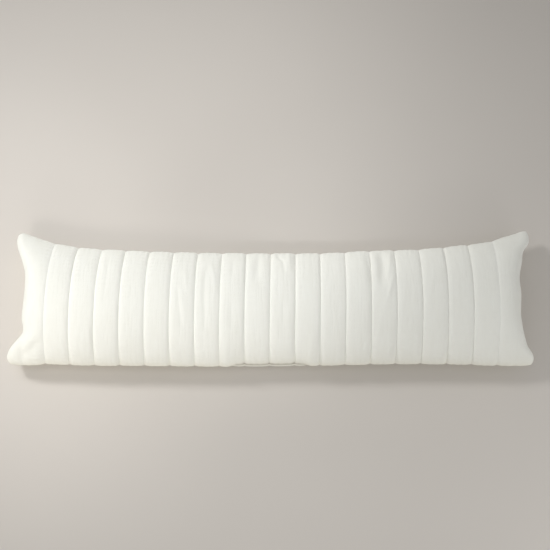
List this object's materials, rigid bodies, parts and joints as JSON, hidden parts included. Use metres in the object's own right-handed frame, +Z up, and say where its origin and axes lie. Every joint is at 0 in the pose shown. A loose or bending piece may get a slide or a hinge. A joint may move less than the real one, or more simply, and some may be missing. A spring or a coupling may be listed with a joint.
{
  "type": "rectangular throw pillow",
  "caption": "Long rectangular throw pillow, filled and crowned, with a channel-quilted off-white front, a plain back, a knife-edge seam and drawn-in sides between soft ears.",
  "frame": {"origin": "on the floor, below the middle of the pillow's box, with the pillow lying on its back", "axes": "+X along the pillow's length, +Y across it from the straight foot edge to the drawn-in head edge, +Z up out of the quilted front"},
  "size_m": [1.2266, 0.3272, 0.125],
  "materials": {
    "cover": "matte"
  },
  "bodies": {
    "root": {"pillow": "cover"}
  },
  "joints": []
}
